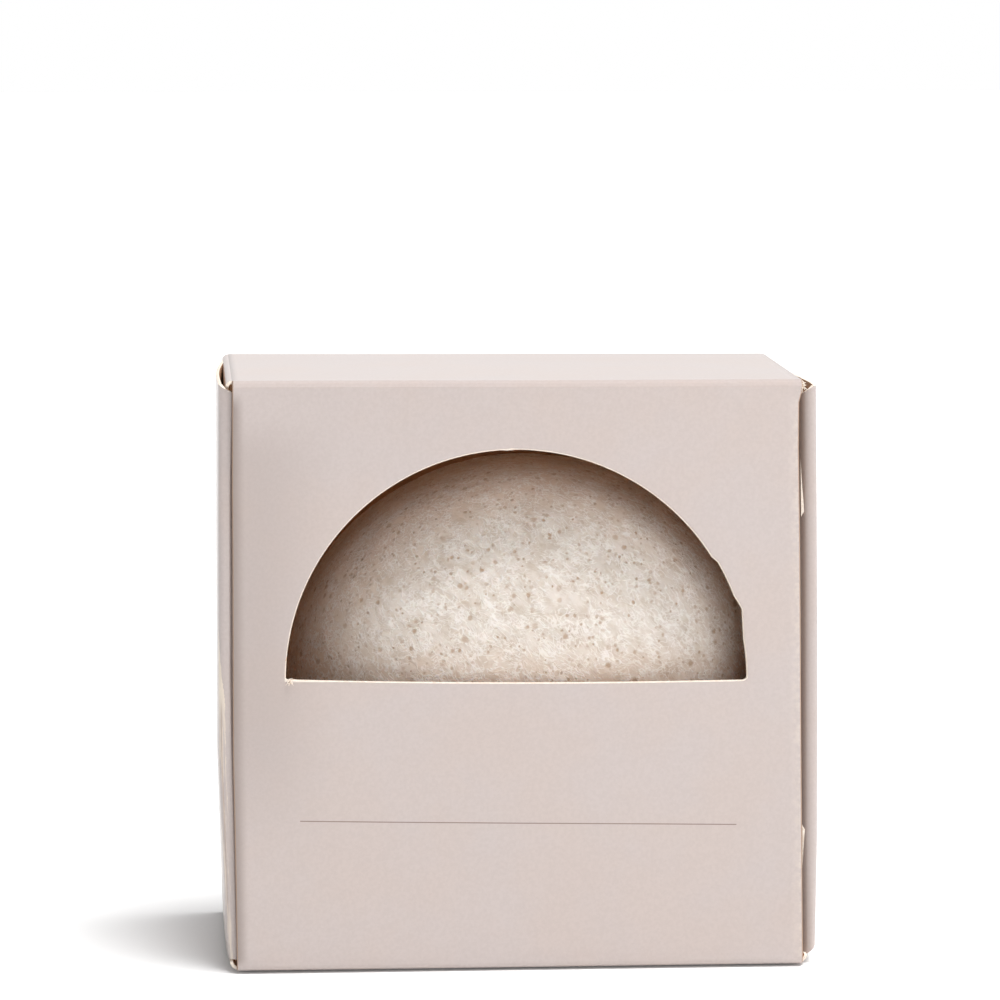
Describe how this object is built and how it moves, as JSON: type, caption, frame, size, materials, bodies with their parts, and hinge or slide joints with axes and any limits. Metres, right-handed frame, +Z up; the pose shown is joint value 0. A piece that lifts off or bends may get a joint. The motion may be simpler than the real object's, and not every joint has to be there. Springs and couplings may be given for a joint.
{
  "type": "konjac sponge in a window carton",
  "caption": "Half-ball cleansing sponge of porous plant fibre, standing in a glued board carton with a half-round window and hinged tuck-in ends.",
  "frame": {"origin": "middle of the carton's length and depth, on the surface it stands on", "axes": "+X to the right end of the carton seen from the window, +Y from the window wall to the back wall, +Z up"},
  "size_m": [0.0848, 0.045, 0.0835],
  "materials": {
    "sleeve_board": "matte coated, pinkish beige, cream core at the cut edges",
    "end_board": "matte coated, worn cream along the folds",
    "sponge_fibre": "porous, dry, fibrous"
  },
  "bodies": {
    "carton": {"front_panel": "sleeve_board", "top_panel": "sleeve_board", "back_panel": "sleeve_board", "bottom_panel": "sleeve_board", "glue_flap": "sleeve_board"},
    "left_closure": {"left_closure": "end_board"},
    "right_closure": {"right_closure": "end_board"},
    "left_tuck_tab": {"left_tuck_tab": "end_board"},
    "right_tuck_tab": {"right_tuck_tab": "end_board"},
    "upper_left_dust_flap": {"upper_left_dust_flap": "end_board"},
    "upper_right_dust_flap": {"upper_right_dust_flap": "end_board"},
    "lower_left_dust_flap": {"lower_left_dust_flap": "end_board"},
    "lower_right_dust_flap": {"lower_right_dust_flap": "end_board"},
    "sponge": {"sponge": "sponge_fibre"}
  },
  "joints": [
    {"name": "left_closure_fold", "type": "hinge", "parent": "carton", "child": "left_closure", "pos_m": [-0.0407, 0.0225, 0.04175], "axis": [0, 0, -1], "range_deg": [0, 120]},
    {"name": "right_closure_fold", "type": "hinge", "parent": "carton", "child": "right_closure", "pos_m": [0.0407, 0.0225, 0.04175], "axis": [0, 0, 1], "range_deg": [0, 120]},
    {"name": "left_tab_fold", "type": "hinge", "parent": "left_closure", "child": "left_tuck_tab", "pos_m": [-0.04175, -0.01928, 0.04175], "axis": [0, 0, 1], "range_deg": [0, 36]},
    {"name": "right_tab_fold", "type": "hinge", "parent": "right_closure", "child": "right_tuck_tab", "pos_m": [0.04175, -0.01928, 0.04175], "axis": [0, 0, -1], "range_deg": [0, 36]},
    {"name": "upper_left_flap_fold", "type": "hinge", "parent": "carton", "child": "upper_left_dust_flap", "pos_m": [-0.0401, 0, 0.0835], "axis": [0, 1, 0], "range_deg": [0, 78]},
    {"name": "lower_left_flap_fold", "type": "hinge", "parent": "carton", "child": "lower_left_dust_flap", "pos_m": [-0.0401, 0, 0], "axis": [0, -1, 0], "range_deg": [0, 78]},
    {"name": "upper_right_flap_fold", "type": "hinge", "parent": "carton", "child": "upper_right_dust_flap", "pos_m": [0.0401, 0, 0.0835], "axis": [0, -1, 0], "range_deg": [0, 78]},
    {"name": "lower_right_flap_fold", "type": "hinge", "parent": "carton", "child": "lower_right_dust_flap", "pos_m": [0.0401, 0, 0], "axis": [0, 1, 0], "range_deg": [0, 78]},
    {"name": "sponge_play", "type": "slide", "parent": "carton", "child": "sponge", "axis": [1, 0, 0], "range_m": [-0.0068, 0.0011]}
  ],
  "couplings": [
    {"joint": "left_tab_fold", "follows": "left_closure_fold", "ratio": 0.3},
    {"joint": "upper_left_flap_fold", "follows": "left_closure_fold", "ratio": 0.65},
    {"joint": "lower_left_flap_fold", "follows": "left_closure_fold", "ratio": 0.65},
    {"joint": "right_tab_fold", "follows": "right_closure_fold", "ratio": 0.3},
    {"joint": "upper_right_flap_fold", "follows": "right_closure_fold", "ratio": 0.65},
    {"joint": "lower_right_flap_fold", "follows": "right_closure_fold", "ratio": 0.65}
  ]
}
